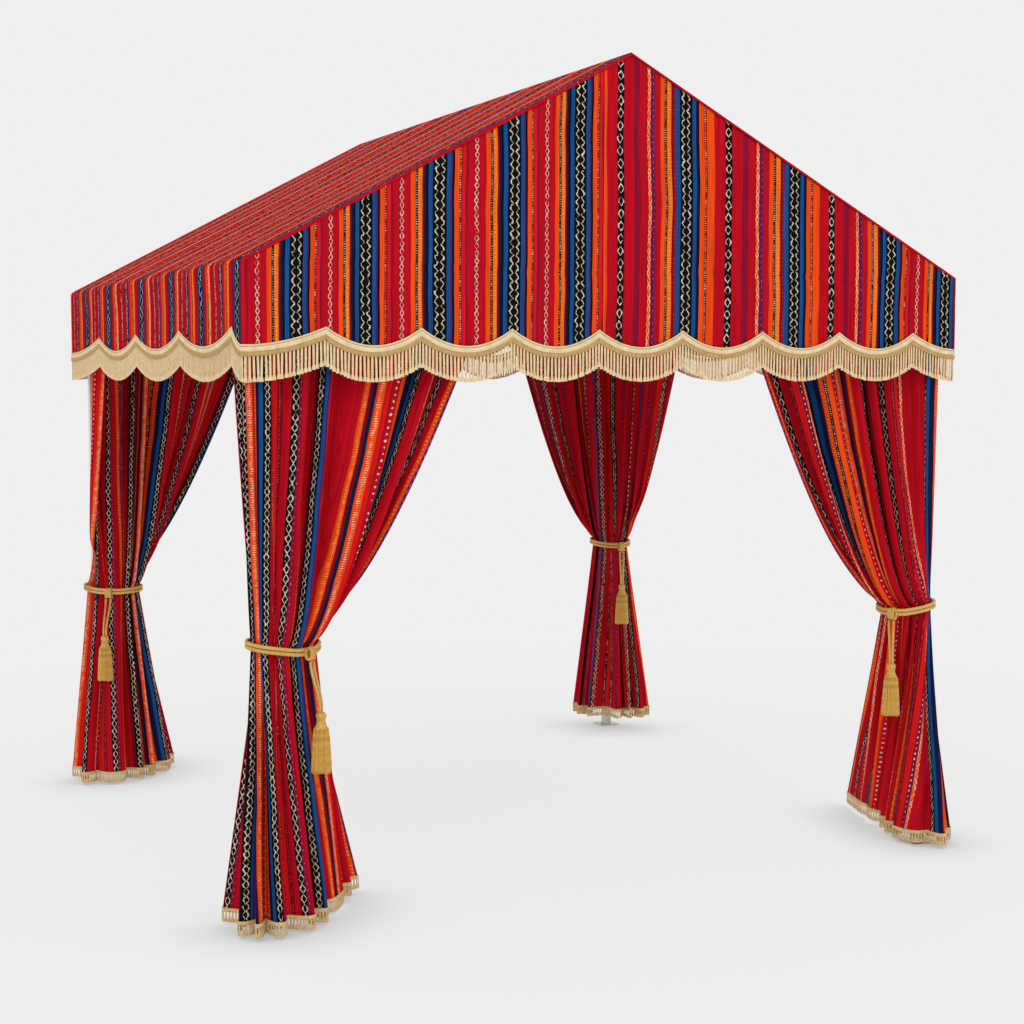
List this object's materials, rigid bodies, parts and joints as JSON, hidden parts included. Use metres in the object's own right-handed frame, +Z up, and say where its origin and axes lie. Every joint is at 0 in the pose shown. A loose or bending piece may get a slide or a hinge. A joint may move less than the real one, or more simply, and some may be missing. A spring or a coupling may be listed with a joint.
{
  "type": "majlis tent",
  "caption": "Open gable tent: steel tube frame under a striped cloth roof with scalloped fringed valances, and corner curtains tied back with ropes and tassels.",
  "frame": {"origin": "middle of the plan, on the floor that the foot plates stand on", "axes": "+Z up, -Y out through the front gable, +X to the right seen from the front; the ridge runs along Y"},
  "size_m": [3.1736, 3.17, 3.1469],
  "materials": {
    "steel": "satin white powder coat",
    "striped_cloth": "woven warp stripes in red, orange, blue and black",
    "fringe_trim": "cream braid and corded fringe",
    "rope": "gold twisted rope"
  },
  "bodies": {
    "root": {"leg_front_left": "steel", "leg_front_right": "steel", "leg_back_left": "steel", "leg_back_right": "steel", "corner_block_front_left": "steel", "corner_block_front_right": "steel", "corner_block_back_left": "steel", "corner_block_back_right": "steel", "rafter_front_left": "steel", "rafter_front_right": "steel", "rafter_back_left": "steel", "rafter_back_right": "steel", "beam_front": "steel", "beam_back": "steel", "beam_left": "steel", "beam_right": "steel", "curtain_rail_front": "steel", "curtain_rail_back": "steel", "curtain_rail_left": "steel", "curtain_rail_right": "steel", "apex_bracket_front": "steel", "apex_bracket_back": "steel", "ridge_beam": "steel", "roof_left": "striped_cloth", "roof_right": "striped_cloth", "gable_front": "striped_cloth", "gable_back": "striped_cloth", "valance_left": "striped_cloth", "valance_right": "striped_cloth", "curtain_front_left": "striped_cloth", "curtain_front_right": "striped_cloth", "curtain_back_left": "striped_cloth", "curtain_back_right": "striped_cloth", "fringe_front": "fringe_trim", "fringe_back": "fringe_trim", "fringe_left": "fringe_trim", "fringe_right": "fringe_trim", "tieback_front_left": "rope", "tieback_front_right": "rope", "tieback_back_left": "rope", "tieback_back_right": "rope", "cord_front_left_left": "rope", "cord_front_left_right": "rope", "cord_front_right_left": "rope", "cord_front_right_right": "rope", "cord_back_left_left": "rope", "cord_back_left_right": "rope", "cord_back_right_left": "rope", "cord_back_right_right": "rope", "tassel_front_left": "rope", "tassel_front_right": "rope", "tassel_back_left": "rope", "tassel_back_right": "rope"}
  },
  "joints": []
}
